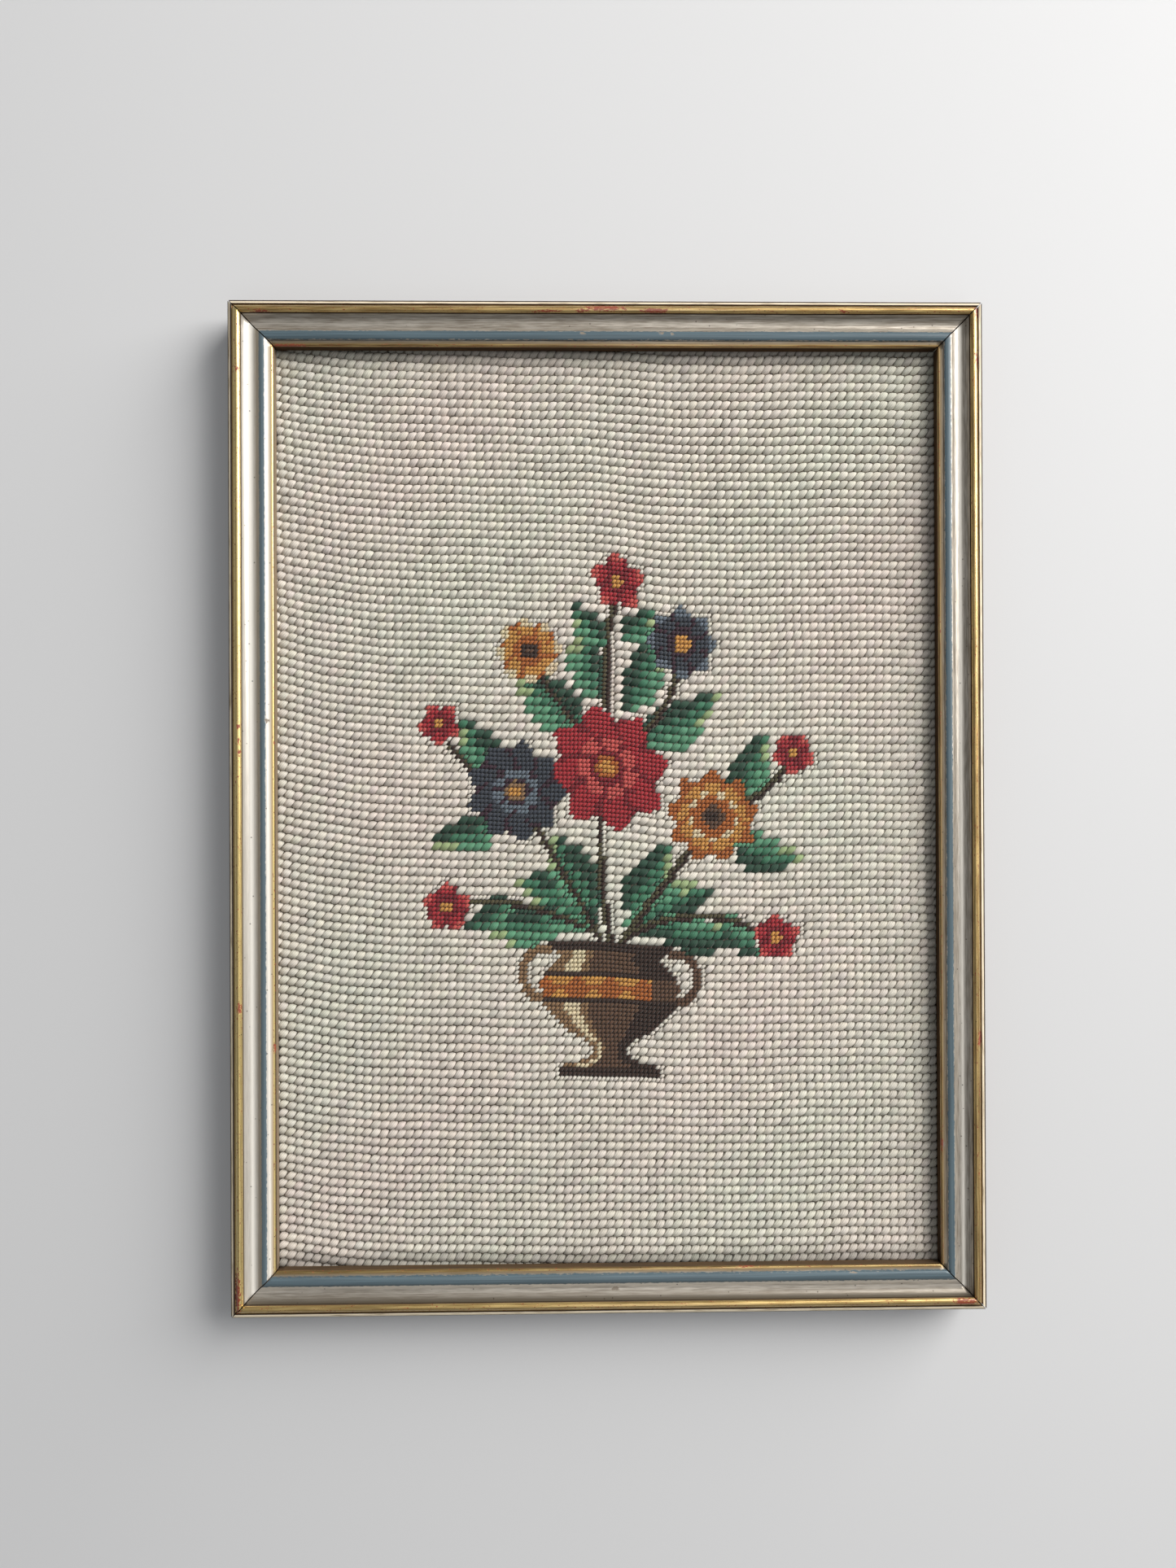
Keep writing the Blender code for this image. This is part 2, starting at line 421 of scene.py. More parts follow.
# Flowers: middle, radius of a petal, its width, how many, turn, yarns; then the eye.
petals((-1, 12), 19, 12, 8, 12, ("deep red", "red", "red"))
petals((-1, 12), 12.6, 8.4, 7, 30, ("deep red", "rose", "red"))
eye((-1, 12), 3.6, "ochre", "rust")
petals((-29, 4), 15.5, 10, 9, 0, ("plum", "slate", "slate"), 1.2)
petals((-29, 4), 9.5, 5.5, 8, 20, ("plum", "blue grey", "slate"), 1.2)
eye((-29, 4), 3.2, "ochre", "fawn")
petals((31, 0), 14.5, 8, 9, 10, ("rust", "ochre", "rust"))
petals((31, 0), 8.5, 5, 9, 30, ("rust", "rust", "buff"))
eye((31, 0), 3.4, "dark brown", "brown")
petals((-25, 46), 10.5, 6.5, 8, 8, ("rust", "ochre", "buff"))
eye((-25, 46), 2.6, "brown", "dark brown")
petals((22, 52), 11, 7.5, 8, 0, ("plum", "slate", "blue grey"))
eye((22, 52), 2.6, "ochre", "ochre")
for middle in ((-49, -31), (50, -37)):
    petals(middle, 7.6, 6, 5, 18, ("deep red", "red", "rose"))
    eye(middle, 1.8, "ochre", "ochre")
for middle in ((-52, 23), (56, 19)):
    petals(middle, 6.6, 5.5, 5, 50, ("deep red", "red", "rose"))
    eye(middle, 1.6, "ochre", "ochre")
petals((3, 68), 8.5, 6.5, 5, 90, ("deep red", "red", "rose"))
eye((3, 68), 1.8, "ochre", "ochre")

# The wool stitches.
# Four-ply crewel wool, each stitch slanting up to the right over one crossing of the canvas, and swelling
# between its holes until the stitches of a row press together.

# Width, length and height of a stitch, how deep its ends dip into their holes, the rings along it, and the
# points over and under each ring: first over double threads, then over single ones.
GROS = (2.74 * MM, 2.86 * MM, 1.15 * MM, 0.45 * MM, 5, 7, 2)
PETIT = (1.38 * MM, 1.42 * MM, 0.82 * MM, 0.05 * MM, 4, 5, 1)
# Shares of the stitch: a groove between two plies, its width at its ends, and half its thickness.
PLY_GROOVE = 0.07
END_WIDTH = 0.55
HALF_THICK = 0.52
# How its rings crowd towards its ends, and how late on its way to an end it narrows and dips.
CROWD_POWER = 0.6
NARROW_POWER = 3
DIP_POWER = 2.6


def plump_stitch(name, width, length, height, dip, rings, over, under):
    """One upright stitch: a flattened yarn that swells between two holes, with its plies in relief."""
    along = np.linspace(-1, 1, rings)
    along = np.sign(along) * np.abs(along) ** CROWD_POWER
    turn = np.concatenate([
        np.linspace(0, math.pi, over),
        math.pi + math.pi * np.arange(1, under + 1) / (under + 1),
    ])
    ply = 1 - PLY_GROOVE * (np.arange(len(turn)) % 2)
    half_thick = height * HALF_THICK
    points = []
    for share in along:
        narrowed = 1 - (1 - END_WIDTH) * abs(share) ** NARROW_POWER
        centre = (height - half_thick) - (height - half_thick + dip) * abs(share) ** DIP_POWER
        x = width / 2 * narrowed * np.cos(turn) * ply
        z = centre + half_thick * narrowed * np.sin(turn) * ply
        points += [(px, share * length / 2, pz) for px, pz in zip(x, z)]
    sides = len(turn)
    faces = [
        (r * sides + k, r * sides + (k + 1) % sides, (r + 1) * sides + (k + 1) % sides, (r + 1) * sides + k)
        for r in range(rings - 1) for k in range(sides)
    ]
    faces += [tuple(range(sides)), tuple((rings - 1) * sides + k for k in range(sides))]
    mesh = bpy.data.meshes.new(name)
    mesh.from_pydata(points, [], faces)
    bm = bmesh.new()
    bm.from_mesh(mesh)
    bmesh.ops.recalc_face_normals(bm, faces=bm.faces)
    bm.to_mesh(mesh)
    bm.free()
    mesh.shade_smooth()
    in_stitch = mesh.attributes.new("in_stitch", "FLOAT_VECTOR", "POINT")
    in_stitch.data.foreach_set("vector", np.array(points).ravel())
    made = bpy.data.objects.new(name, mesh)
    bpy.context.scene.collection.objects.link(made)
    return made


# The tree sets a stitch on each point of the chart, turned with its row and a little different each time.
# Then it leans each stitch over to its slant, which keeps the two ends level with the rows of holes.
stitching = bpy.data.node_groups.new("tent_stitch", "GeometryNodeTree")
for label, kind in (
    ("Geometry", "Geometry"), ("Stitch", "Object"), ("Off True", "Float"), ("Uneven", "Float"),
    ("Seed", "Int"), ("Wool", "Material"),
):
    stitching.interface.new_socket(label, in_out="INPUT", socket_type="NodeSocket" + kind)
stitching.interface.new_socket("Geometry", in_out="OUTPUT", socket_type="NodeSocketGeometry")
asked = node(stitching, "NodeGroupInput").outputs
one_stitch = node(stitching, "GeometryNodeObjectInfo", {"Object": asked["Stitch"]}).outputs["Geometry"]
turn = node(stitching, "GeometryNodeInputNamedAttribute", {"Name": "turn"}, data_type="FLOAT_VECTOR")
loll = node(
    stitching, "FunctionNodeRandomValue",
    {0: (-0.5, -1.0, -0.6), 1: (0.5, 1.0, 0.6), "Seed": asked["Seed"]},
    data_type="FLOAT_VECTOR",
)
lolled = node(
    stitching, "ShaderNodeVectorMath",
    {0: loll, 1: asked["Off True"], 2: turn},
    operation="MULTIPLY_ADD",
)
other_seed = node(stitching, "ShaderNodeMath", {0: asked["Seed"], 1: 0.5}, operation="ADD")
swelled = node(
    stitching, "FunctionNodeRandomValue",
    {0: (-1.0, -0.6, -1.0), 1: (1.0, 0.6, 1.0), "Seed": other_seed},
    data_type="FLOAT_VECTOR",
)
size = node(
    stitching, "ShaderNodeVectorMath",
    {0: swelled, 1: asked["Uneven"], 2: (1.0, 1.0, 1.0)},
    operation="MULTIPLY_ADD",
)
placed = node(
    stitching, "GeometryNodeInstanceOnPoints",
    {"Points": asked["Geometry"], "Instance": one_stitch, "Rotation": lolled, "Scale": size},
)
real = node(stitching, "GeometryNodeRealizeInstances", {"Geometry": placed})
lean = node(stitching, "GeometryNodeInputNamedAttribute", {"Name": "lean"}, data_type="FLOAT_VECTOR")
inner = node(stitching, "GeometryNodeInputNamedAttribute", {"Name": "in_stitch"}, data_type="FLOAT_VECTOR")
up_stitch = node(stitching, "ShaderNodeSeparateXYZ", {0: inner}).outputs["Y"]
shift = node(stitching, "ShaderNodeVectorMath", {0: lean, "Scale": up_stitch}, operation="SCALE")
leaned = node(stitching, "GeometryNodeSetPosition", {"Geometry": real, "Offset": shift})
dressed = node(stitching, "GeometryNodeSetMaterial", {"Geometry": leaned, "Material": asked["Wool"]})
node(stitching, "NodeGroupOutput", {"Geometry": dressed})
sockets = {item.name: item.identifier for item in stitching.interface.items_tree if item.in_out == "INPUT"}

# Dyed wool: matt, with a halo of fine hairs that a little sheen stands for. The hairs run along the stitch,
# and are drawn several times as coarse as wool, so that they show.
HAIR = 0.16 * MM
HAIR_RUN = 7
PLY = 0.66 * MM
PLY_TWIST = 14
WOOL_RELIEF = 0.1 * MM
# Heights in a stitch between which it goes from shaded to fully lit.
LIT_HEIGHTS = (0.1 * MM, 0.9 * MM)

crewel_wool, tree, shader = finish("four_ply_crewel_wool")
yarn = node(tree, "ShaderNodeAttribute", attribute_name="yarn").outputs["Color"]
inner = node(tree, "ShaderNodeAttribute", attribute_name="in_stitch").outputs["Vector"]
place = node(tree, "ShaderNodeTexCoord").outputs["Object"]
combed = node(
    tree, "ShaderNodeVectorMath",
    {0: inner, 1: (1.0, 1 / HAIR_RUN, 1.0), 2: place},
    operation="MULTIPLY_ADD",
)
hairs = node(tree, "ShaderNodeTexNoise", {"Vector": combed, "Scale": 1 / HAIR, "Detail": 4.0})
twisted = node(tree, "ShaderNodeMapping", {"Vector": inner, "Rotation": (0, 0, math.radians(PLY_TWIST))})
plies = node(
    tree, "ShaderNodeTexWave",
    {"Vector": twisted, "Scale": BAND_SCALE / PLY, "Distortion": 0.6, "Detail": 1.0},
)
laid = node(tree, "ShaderNodeMath", {0: plies.outputs["Fac"], 1: hairs}, operation="ADD")
streak = node(
    tree, "ShaderNodeMapRange",
    {"Value": laid, "From Min": 0.5, "From Max": 1.4, "To Min": 0.86, "To Max": 1.03},
)
height = node(tree, "ShaderNodeSeparateXYZ", {0: inner}).outputs["Z"]
depth = node(
    tree, "ShaderNodeMapRange",
    {"Value": height, "From Min": LIT_HEIGHTS[0], "From Max": LIT_HEIGHTS[1], "To Min": 0.88, "To Max": 1.0},
)
shade = node(tree, "ShaderNodeMath", {0: streak, 1: depth}, operation="MULTIPLY")
dyed = node(tree, "ShaderNodeVectorMath", {0: yarn, "Scale": shade}, operation="SCALE")
fuzz = node(tree, "ShaderNodeBump", {"Strength": 0.7, "Distance": WOOL_RELIEF, "Height": laid})
plug(tree, shader, {"Base Color": dyed, "Normal": fuzz, "Roughness": 0.9})
plug(tree, shader, {"Sheen Weight": 0.15, "Sheen Roughness": 0.5})

# Stitches are worked this far under the lip of the frame.
SIGHT_OVERHANG = 1.6 * MM
# How far a stitch leans to the right for each unit of its length.
SLANT = 0.56
# How far the stitches stray in slant, in place, in tone and in tint.
SLANT_STRAY = 0.06
PLACE_STRAY = 0.04 * MM
TONE_STRAY = 0.05
TINT_STRAY = 0.01
# A slow drift of the dye over the picture, and how it falls on red, green and blue.
DYE_DRIFT = 0.016
DRIFT_TINT = (1.0, -0.4, 0.2)
# How much darker the rows beside the frame are painted, as painted shade from its lip, and how far in, in
# mm.
EDGE_SHADE_DEPTH = 0.42
EDGE_SHADE_REACH = 2.9
# How uneven the stitches are in size, and how far they lie off true over double threads and over single.
UNEVEN = 0.06
GROS_OFF_TRUE = 0.1
PETIT_OFF_TRUE = 0.14

sight = (cad_high.x - FACE_WIDTH, cad_high.y - FACE_WIDTH)
rng = np.random.default_rng(7)
shade_colours = np.array([linear(code) for code in YARNS.values()])
gros_stitch = plump_stitch("gros_stitch", *GROS)
petit_stitch = plump_stitch("petit_stitch", *PETIT)


def stitch_points(columns, rows, part, yarn_rows):
    """Places, turns, leans and yarns of the stitches that show. Part is 1, or 0.5 for the small ones."""
    reach = part / 2
    spots = []
    for across, up in ((0, 0), (-reach, 0), (reach, 0), (0, -reach), (0, reach)):
        spot = pulled((columns + across) * PITCH_ACROSS / MM, (rows + up) * PITCH_UP / MM)
        spots.append(np.stack(spot, axis=1))
    middle, left, right, low, high = spots
    along_row = (right - left) / np.linalg.norm(right - left, axis=1, keepdims=True)
    up_row = (high - low) / np.linalg.norm(high - low, axis=1, keepdims=True)
    slant = (SLANT + rng.normal(0, SLANT_STRAY, len(middle)) + (along_row * up_row).sum(axis=1))[:, None]
    places = middle * MM + rng.normal(0, PLACE_STRAY * part, middle.shape)
    flat = np.zeros((len(middle), 1))
    turns = np.hstack([flat, flat, np.arctan2(along_row[:, 1:], along_row[:, :1])])
    leans = np.hstack([along_row * slant, flat])
    tone = 1 + rng.normal(0, TONE_STRAY, (len(middle), 1))
    x, y = middle.T
    warmth = DYE_DRIFT * (np.sin(x / 13 + 2 * np.sin(y / 31)) + np.sin(y / 17 - x / 41))
    tint = 1 + rng.normal(0, TINT_STRAY, (len(middle), 3)) + warmth[:, None] * DRIFT_TINT
    # The rows beside the frame are painted darker as painted shade from its lip, except along the left,
    # where the light falls on them.
    from_frame = np.minimum(sight[0] / MM - x, sight[1] / MM - np.abs(y))
    darkened = 1 - EDGE_SHADE_DEPTH * np.exp(-(np.maximum(from_frame, 0) / EDGE_SHADE_REACH) ** 4)
    colours = shade_colours[yarn_rows].copy()
    colours[:, :3] *= tone * tint * darkened[:, None]
    shows = (np.abs(places) < np.array(sight) + SIGHT_OVERHANG).all(axis=1)
    return places[shows], turns[shows], leans[shows], colours[shows]


def stitch(name, places, turns, leans, colours, one_stitch, off_true, seed):
    """Works one group of stitches with the stitch tree and keeps them as one mesh."""
    level = [face_level(x, y) - STITCH_STAND for x, y in places]
    mesh = bpy.data.meshes.new(name)
    mesh.from_pydata([(x, y, z) for (x, y), z in zip(places, level)], [], [])
    mesh.attributes.new("turn", "FLOAT_VECTOR", "POINT").data.foreach_set("vector", turns.ravel())
    mesh.attributes.new("lean", "FLOAT_VECTOR", "POINT").data.foreach_set("vector", leans.ravel())
    mesh.attributes.new("yarn", "FLOAT_COLOR", "POINT").data.foreach_set("color", colours.ravel())
    pattern = bpy.data.objects.new(name + "_points", mesh)
    bpy.context.scene.collection.objects.link(pattern)
    modifier = pattern.modifiers.new("stitches", "NODES")
    modifier.node_group = stitching
    for label, value in (
        ("Stitch", one_stitch), ("Off True", off_true), ("Uneven", UNEVEN),
        ("Seed", seed), ("Wool", crewel_wool),
    ):
        modifier[sockets[label]] = value
    depsgraph = bpy.context.evaluated_depsgraph_get()
    made = bpy.data.meshes.new_from_object(pattern.evaluated_get(depsgraph))
    bpy.data.objects.remove(pattern)
    bpy.data.meshes.remove(mesh)
    made.name = name
    return adopt(name, made, "needlework")


quarters = smalls.reshape(squares.shape[0], 2, squares.shape[1], 2).transpose(0, 2, 1, 3)
fine = (quarters != BARE).any(axis=(2, 3))
ground_shade = SHADES.index("ground")
row_index, column_index = np.indices(squares.shape)
row_number, column_number = row_index - ROWS, column_index - COLUMNS

leaves = (squares != BARE) & ~fine
leaf_stitches = stitch(
    "leaf_stitches",
    *stitch_points(column_number[leaves], row_number[leaves], 1, squares[leaves]),
    gros_stitch, GROS_OFF_TRUE, 11,
)

# A square with any small stitch in it is worked wholly in small stitches.
columns, rows, yarn_rows = [], [], []
for row_step in (0, 1):
    for column_step in (0, 1):
        columns.append(column_number[fine] + (column_step - 0.5) / 2)
        rows.append(row_number[fine] + (row_step - 0.5) / 2)
        own = quarters[:, :, row_step, column_step][fine]
        around = np.where(squares[fine] == BARE, ground_shade, squares[fine])
        yarn_rows.append(np.where(own == BARE, around, own))
small_stitches = stitch(
    "small_stitches",
    *stitch_points(np.concatenate(columns), np.concatenate(rows), 0.5, np.concatenate(yarn_rows)),
    petit_stitch, PETIT_OFF_TRUE, 12,
)

# The ground is worked in bands, from the bottom up.
GROUND_BANDS = 4
ground = (squares == BARE) & ~fine
band_of_row = (row_index * GROUND_BANDS) // squares.shape[0]
for k in range(GROUND_BANDS):
    chosen = ground & (band_of_row == k)
    shades = np.full(chosen.sum(), ground_shade)
    stitch(
        f"ground_stitches_{k + 1}",
        *stitch_points(column_number[chosen], row_number[chosen], 1, shades),
        gros_stitch, GROS_OFF_TRUE, 20 + k,
    )

for one in (gros_stitch, petit_stitch):
    bpy.data.objects.remove(one)

# The moulding.
# Four sticks of one narrow moulding, mitred and joined. The wood was coated with gesso and red bole, gilt on
# the bead and the sight edge, silvered and toned in the hollow, and painted slate blue on the raised band.

# Distances in from the outer edge of the frame where one finish meets the next, then heights above its back.
CREAM_TO = 1.2 * MM
GILT = (1.2 * MM, 3.85 * MM)
HOLLOW_FROM = 4.05 * MM
LIP_FROM = 12.3 * MM
REBATE_TOP = 8.8 * MM
SIGHT_EDGE = 11.8 * MM


def along_grain(tree, run, length, width, detail=4.0):
    """Noise in streaks of this length and width that follow the stick."""
    drawn = node(
        tree, "ShaderNodeVectorMath",
        {0: run, 1: (1 / length, 1 / width, 1 / width)},
        operation="MULTIPLY",
    )
    return node(tree, "ShaderNodeTexNoise", {"Vector": drawn, "Scale": 1.0, "Detail": detail}).outputs[0]


# Gold leaf laid over red clay and burnished, now dulled in streaks, specked, dark along the corner of the
# sight edge, and rubbed to the clay at the nicks. It is painted paler as painted light where the light falls
# on it, and darker on the lip of three sticks as painted shade.
GOLD_SPECKS_APART = 3.6 * MM
GOLD_RELIEF = 0.06 * MM
# The corner of the sight edge goes dark between these distances in from the outer edge.
SIGHT_CORNER = (12.7 * MM, 12.88 * MM)

gold_leaf, tree, shader = finish("burnished_gold_leaf_over_red_bole")
run = node(tree, "ShaderNodeAttribute", attribute_name="run").outputs["Vector"]
worn = node(tree, "ShaderNodeAttribute", attribute_name="worn").outputs["Fac"]
streaks = along_grain(tree, run, 9 * MM, 0.5 * MM)
patches = along_grain(tree, run, 26 * MM, 3 * MM, 2.0)
grit = along_grain(tree, run, 0.9 * MM, 0.35 * MM)
bright = node(tree, "ShaderNodeMapRange", {"Value": streaks, "From Min": 0.35, "From Max": 0.65})
fresh = node(
    tree, "ShaderNodeMix", {0: bright, 6: linear("#AF8446"), 7: linear("#E3C27F")}, data_type="RGBA",
)
dull = node(
    tree, "ShaderNodeMapRange", {"Value": patches, "From Min": 0.42, "From Max": 0.66, "To Max": 0.5},
)
dulled = node(tree, "ShaderNodeMix", {0: dull, 6: fresh, 7: linear("#7A6138")}, data_type="RGBA")
specks = node(tree, "ShaderNodeTexVoronoi", {"Vector": run, "Scale": 1 / GOLD_SPECKS_APART})
speck = node(
    tree, "ShaderNodeMapRange",
    {"Value": specks.outputs["Distance"], "From Min": 0.03, "From Max": 0.06, "To Min": 0.85, "To Max": 0.0},
)
painted_light = node(tree, "ShaderNodeAttribute", attribute_name="painted_light").outputs["Fac"]
lighter = node(tree, "ShaderNodeMath", {0: painted_light, 1: 0.8}, operation="MULTIPLY")
pale = node(tree, "ShaderNodeMix", {0: lighter, 6: dulled, 7: linear("#EED48C")}, data_type="RGBA")
painted_shade = node(tree, "ShaderNodeAttribute", attribute_name="painted_shade").outputs["Fac"]
lip_shade = node(tree, "ShaderNodeMath", {0: painted_shade, 1: 0.6}, operation="MULTIPLY")
shaded_leaf = node(tree, "ShaderNodeMix", {0: lip_shade, 6: pale, 7: linear("#5A4426")}, data_type="RGBA")
inwards = node(tree, "ShaderNodeSeparateXYZ", {0: run}).outputs["Y"]
at_corner = node(
    tree, "ShaderNodeMapRange",
    {"Value": inwards, "From Min": SIGHT_CORNER[0], "From Max": SIGHT_CORNER[1]},
)
corner_depth = node(tree, "ShaderNodeMath", {0: painted_light, 1: 0.5, 2: 0.2}, operation="MULTIPLY_ADD")
corner = node(tree, "ShaderNodeMath", {0: at_corner, 1: corner_depth}, operation="MULTIPLY")
cornered = node(tree, "ShaderNodeMix", {0: corner, 6: shaded_leaf, 7: linear("#4A3620")}, data_type="RGBA")
specked = node(tree, "ShaderNodeMix", {0: speck, 6: cornered, 7: linear("#33261A")}, data_type="RGBA")
ragged = node(tree, "ShaderNodeMath", {0: grit, 1: 2.2, 2: -0.6}, operation="MULTIPLY_ADD")
rubbed = node(tree, "ShaderNodeMath", {0: worn, 1: 0.62, 2: ragged}, operation="MULTIPLY_ADD")
bare = node(tree, "ShaderNodeMapRange", {"Value": rubbed, "From Min": 0.78, "From Max": 0.85})
gilt = node(tree, "ShaderNodeMix", {0: bare, 6: specked, 7: linear("#93401F")}, data_type="RGBA")
metal = node(tree, "ShaderNodeMapRange", {"Value": bare, "To Min": 0.85, "To Max": 0.0})
coarse = node(tree, "ShaderNodeMath", {0: streaks, 1: bare}, operation="ADD")
matt = node(
    tree, "ShaderNodeMapRange",
    {"Value": coarse, "From Min": 0.3, "From Max": 1.3, "To Min": 0.28, "To Max": 0.6},
)
relief = node(tree, "ShaderNodeMath", {0: grit, 1: bare}, operation="SUBTRACT")
pitted = node(tree, "ShaderNodeBump", {"Strength": 0.35, "Distance": GOLD_RELIEF, "Height": relief})
plug(tree, shader, {"Base Color": gilt, "Metallic": metal, "Roughness": matt, "Normal": pitted})
plug(tree, shader, {"Coat Weight": 1.0, "Coat Roughness": 0.16})

# Silver leaf toned with a brown wash in streaks. It is painted darker as painted shade, most beside the bead
# on the bottom stick, beside the paint on the left one, and on the inner slope of the other two, with a
# painted shadow line along the foot of the band on the top and right sticks. Over it a slate blue paint with
# ragged edges, chipped here and there.
SILVER_FLECKS_APART = 2.6 * MM
SILVER_RELIEF = 0.05 * MM
# Along this line the leaf is painted dark, as a painted shadow under the foot of the band.
BAND_FOOT_LINE = 11.35 * MM
# How far from the middle of that line it starts to fade, and where it ends.
FOOT_LINE_HALF = (0.1 * MM, 0.24 * MM)
# The gold of the sight edge comes in over the silver between these distances in from the outer edge.
THIN_GOLD = (11.4 * MM, 12.2 * MM)

silver_leaf, tree, shader = finish("toned_silver_leaf_and_slate_blue_paint")
run = node(tree, "ShaderNodeAttribute", attribute_name="run").outputs["Vector"]
worn = node(tree, "ShaderNodeAttribute", attribute_name="worn").outputs["Fac"]
band = node(tree, "ShaderNodeAttribute", attribute_name="band").outputs["Fac"]
foot_shadow = node(tree, "ShaderNodeAttribute", attribute_name="foot_shadow").outputs["Fac"]
painted_shade = node(tree, "ShaderNodeAttribute", attribute_name="painted_shade").outputs["Fac"]
inwards = node(tree, "ShaderNodeSeparateXYZ", {0: run}).outputs["Y"]
streaks = along_grain(tree, run, 34 * MM, 0.35 * MM)
patches = along_grain(tree, run, 17 * MM, 2.4 * MM, 3.0)
grit = along_grain(tree, run, 1.1 * MM, 0.4 * MM)
brushed = along_grain(tree, run, 5 * MM, 0.45 * MM)
thin_patches = node(tree, "ShaderNodeMath", {0: patches, 1: 0.2}, operation="MULTIPLY")
thin_strokes = node(tree, "ShaderNodeMath", {0: brushed, 1: 0.4, 2: thin_patches}, operation="MULTIPLY_ADD")
wash = node(tree, "ShaderNodeMath", {0: streaks, 1: 0.4, 2: thin_strokes}, operation="MULTIPLY_ADD")
clear = node(tree, "ShaderNodeMapRange", {"Value": wash, "From Min": 0.42, "From Max": 0.58})
leaf_colour = node(
    tree, "ShaderNodeMix", {0: clear, 6: linear("#8F8374"), 7: linear("#D2C9BC")}, data_type="RGBA",
)
# Where the light falls, the leaf is painted paler and less like metal, and the paint paler, as painted
# light.
painted_light = node(tree, "ShaderNodeAttribute", attribute_name="painted_light").outputs["Fac"]
lighter = node(tree, "ShaderNodeMath", {0: painted_light, 1: 0.6}, operation="MULTIPLY")
pale = node(tree, "ShaderNodeMix", {0: lighter, 6: leaf_colour, 7: linear("#F2EDE3")}, data_type="RGBA")
thin_gold = node(
    tree, "ShaderNodeMapRange",
    {"Value": inwards, "From Min": THIN_GOLD[0], "From Max": THIN_GOLD[1], "To Min": 0.0, "To Max": 0.8},
)
gold_edged = node(tree, "ShaderNodeMix", {0: thin_gold, 6: pale, 7: linear("#C29F62")}, data_type="RGBA")
shaded_leaf = node(tree, "ShaderNodeMix", {0: painted_shade, 6: gold_edged, 7: linear("#6B6152")}, data_type="RGBA")
flecks = node(tree, "ShaderNodeTexVoronoi", {"Vector": run, "Scale": 1 / SILVER_FLECKS_APART})
fleck = node(
    tree, "ShaderNodeMapRange",
    {"Value": flecks.outputs["Distance"], "From Min": 0.05, "From Max": 0.11, "To Min": 0.7, "To Max": 0.0},
)
flecked = node(tree, "ShaderNodeMix", {0: fleck, 6: shaded_leaf, 7: linear("#3D3226")}, data_type="RGBA")
chipped = node(tree, "ShaderNodeMath", {0: worn, 1: 0.62, 2: grit}, operation="MULTIPLY_ADD")
bare = node(tree, "ShaderNodeMapRange", {"Value": chipped, "From Min": 0.74, "From Max": 0.84})
under = node(tree, "ShaderNodeMix", {0: bare, 6: flecked, 7: linear("#8C8173")}, data_type="RGBA")
# The band attribute is 0 at one edge of the paint and 1 at the other, and the grit makes both edges wander.
wander = node(tree, "ShaderNodeMath", {0: grit, 1: 0.42, 2: -0.71}, operation="MULTIPLY_ADD")
off_middle = node(tree, "ShaderNodeMath", {0: band, 1: wander}, operation="ADD")
from_middle = node(tree, "ShaderNodeMath", {0: off_middle}, operation="ABSOLUTE")
cover = node(
    tree, "ShaderNodeMapRange",
    {"Value": from_middle, "From Min": 0.46, "From Max": 0.54, "To Min": 1.0, "To Max": 0.0},
)
whole = node(tree, "ShaderNodeMath", {0: 1.0, 1: bare}, operation="SUBTRACT")
painted = node(tree, "ShaderNodeMath", {0: cover, 1: whole}, operation="MULTIPLY")
paint_streaks = node(tree, "ShaderNodeMapRange", {"Value": streaks, "From Min": 0.36, "From Max": 0.64})
paint = node(
    tree, "ShaderNodeMix", {0: paint_streaks, 6: linear("#485860"), 7: linear("#5C6F78")}, data_type="RGBA",
)
paint_lightened = node(tree, "ShaderNodeMath", {0: painted_light, 1: 0.15}, operation="MULTIPLY")
lit_paint = node(tree, "ShaderNodeMix", {0: paint_lightened, 6: paint, 7: linear("#A9B6BA")}, data_type="RGBA")
banded = node(tree, "ShaderNodeMix", {0: painted, 6: under, 7: lit_paint}, data_type="RGBA")
off_line = node(tree, "ShaderNodeMath", {0: inwards, 1: BAND_FOOT_LINE}, operation="SUBTRACT")
from_line = node(tree, "ShaderNodeMath", {0: off_line}, operation="ABSOLUTE")
line = node(
    tree, "ShaderNodeMapRange",
    {
        "Value": from_line, "From Min": FOOT_LINE_HALF[0], "From Max": FOOT_LINE_HALF[1],
        "To Min": 0.9, "To Max": 0.0,
    },
)
foot_shadowed = node(tree, "ShaderNodeMath", {0: line, 1: foot_shadow}, operation="MULTIPLY")
silvered = node(tree, "ShaderNodeMix", {0: foot_shadowed, 6: banded, 7: linear("#2E261B")}, data_type="RGBA")
hidden = node(tree, "ShaderNodeMath", {0: painted, 1: foot_shadowed}, operation="MAXIMUM")
covered = node(tree, "ShaderNodeMath", {0: hidden, 1: bare}, operation="MAXIMUM")
leaf_metal = node(tree, "ShaderNodeMath", {0: painted_light, 1: -0.25, 2: 0.6}, operation="MULTIPLY_ADD")
metal = node(tree, "ShaderNodeMapRange", {"Value": covered, "To Min": leaf_metal, "To Max": 0.0})
matt = node(
    tree, "ShaderNodeMapRange",
    {"Value": wash, "From Min": 0.35, "From Max": 0.65, "To Min": 0.4, "To Max": 0.31},
)
raised = node(tree, "ShaderNodeMath", {0: streaks, 1: painted}, operation="ADD")
relief = node(tree, "ShaderNodeMath", {0: raised, 1: bare}, operation="SUBTRACT")
pitted = node(tree, "ShaderNodeBump", {"Strength": 0.4, "Distance": SILVER_RELIEF, "Height": relief})
plug(tree, shader, {"Base Color": silvered, "Metallic": metal, "Roughness": matt, "Normal": pitted})

# Gesso under a thin cream wash, on the slant and the fillet along the outer edge. The very corner is rubbed
# through to dark wood, and the inner edge of the fillet is stained like the groove beside it.
# Each of these two edges is blended over this share of the cream on both sides.
RIM_BLEND = 0.09

